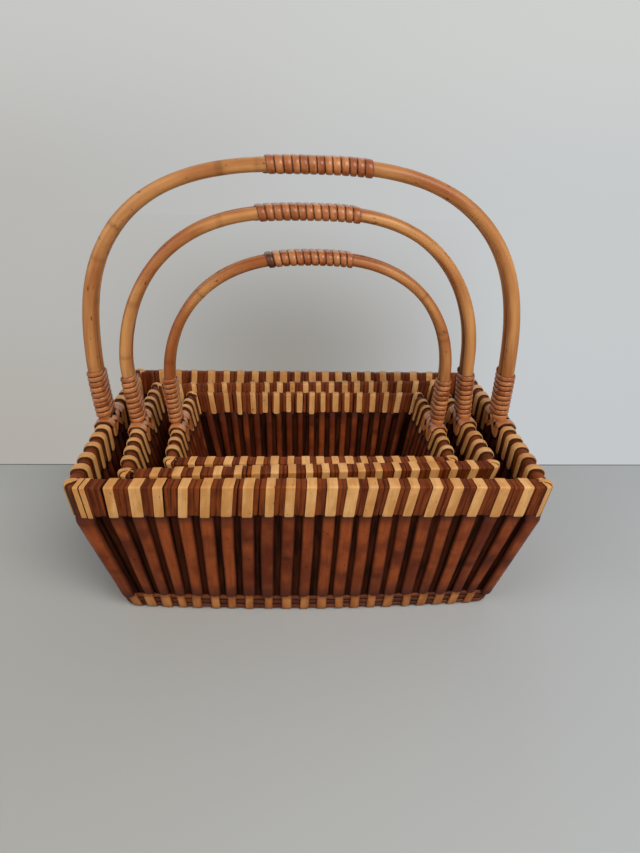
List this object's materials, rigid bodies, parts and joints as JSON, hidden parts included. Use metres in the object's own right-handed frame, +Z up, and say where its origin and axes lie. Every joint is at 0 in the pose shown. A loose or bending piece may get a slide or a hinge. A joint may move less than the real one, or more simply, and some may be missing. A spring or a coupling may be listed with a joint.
{
  "type": "willow basket",
  "caption": "Nesting set of rectangular willow splint baskets with flared walls of bark stakes, wrapped rims and fixed arched handles bound with cane.",
  "frame": {"origin": "under the middle of the large basket's floor, on the surface that it stands on", "axes": "+X runs along the long sides to the right, +Y to the back and +Z up"},
  "size_m": [0.4207, 0.286, 0.393],
  "materials": {
    "bark_stake": "half-round willow stakes with their red-brown bark, lightly varnished",
    "dark_splint": "dark stained willow splints with a fine grain along them, satin",
    "peeled_splint": "peeled willow splints, honey coloured, satin, with small specks",
    "border_rod": "honey-brown willow rods, varnished",
    "floor_mat": "woven willow splints, matt",
    "honey_pole": "bent peeled poles, honey coloured, glossy varnish with small dark nodes",
    "handle_cane": "flat split cane, coppery, glossy varnish"
  },
  "bodies": {
    "large_basket": {"large_floor": "floor_mat", "large_lower_border_rod": "border_rod", "large_middle_border_rod": "border_rod", "large_upper_border_rod": "border_rod", "large_front_wall": "bark_stake", "large_right_wall": "bark_stake", "large_back_wall": "bark_stake", "large_left_wall": "bark_stake", "large_front_rim_wrap": "dark_splint", "large_right_rim_wrap": "dark_splint", "large_back_rim_wrap": "dark_splint", "large_left_rim_wrap": "dark_splint", "large_rim_hoop": "peeled_splint", "large_front_handle_pole": "honey_pole", "large_back_handle_pole": "honey_pole", "large_grip_winding": "handle_cane", "large_left_leg_winding": "handle_cane", "large_right_leg_winding": "handle_cane", "large_left_lashing": "handle_cane", "large_right_lashing": "handle_cane"},
    "medium_basket": {"medium_floor": "floor_mat", "medium_lower_border_rod": "border_rod", "medium_middle_border_rod": "border_rod", "medium_upper_border_rod": "border_rod", "medium_front_wall": "bark_stake", "medium_right_wall": "bark_stake", "medium_back_wall": "bark_stake", "medium_left_wall": "bark_stake", "medium_front_rim_wrap": "dark_splint", "medium_right_rim_wrap": "dark_splint", "medium_back_rim_wrap": "dark_splint", "medium_left_rim_wrap": "dark_splint", "medium_rim_hoop": "peeled_splint", "medium_front_handle_pole": "honey_pole", "medium_back_handle_pole": "honey_pole", "medium_grip_winding": "handle_cane", "medium_left_leg_winding": "handle_cane", "medium_right_leg_winding": "handle_cane", "medium_left_lashing": "handle_cane", "medium_right_lashing": "handle_cane"},
    "small_basket": {"small_floor": "floor_mat", "small_lower_border_rod": "border_rod", "small_middle_border_rod": "border_rod", "small_upper_border_rod": "border_rod", "small_front_wall": "bark_stake", "small_right_wall": "bark_stake", "small_back_wall": "bark_stake", "small_left_wall": "bark_stake", "small_front_rim_wrap": "dark_splint", "small_right_rim_wrap": "dark_splint", "small_back_rim_wrap": "dark_splint", "small_left_rim_wrap": "dark_splint", "small_rim_hoop": "peeled_splint", "small_front_handle_pole": "honey_pole", "small_back_handle_pole": "honey_pole", "small_grip_winding": "handle_cane", "small_left_leg_winding": "handle_cane", "small_right_leg_winding": "handle_cane", "small_left_lashing": "handle_cane", "small_right_lashing": "handle_cane"}
  },
  "joints": [
    {"name": "medium_lift", "type": "slide", "parent": "large_basket", "child": "medium_basket", "axis": [0, 0, 1], "range_m": [0, 0.02]},
    {"name": "small_lift", "type": "slide", "parent": "medium_basket", "child": "small_basket", "axis": [0, 0, 1], "range_m": [0, 0.021]}
  ]
}
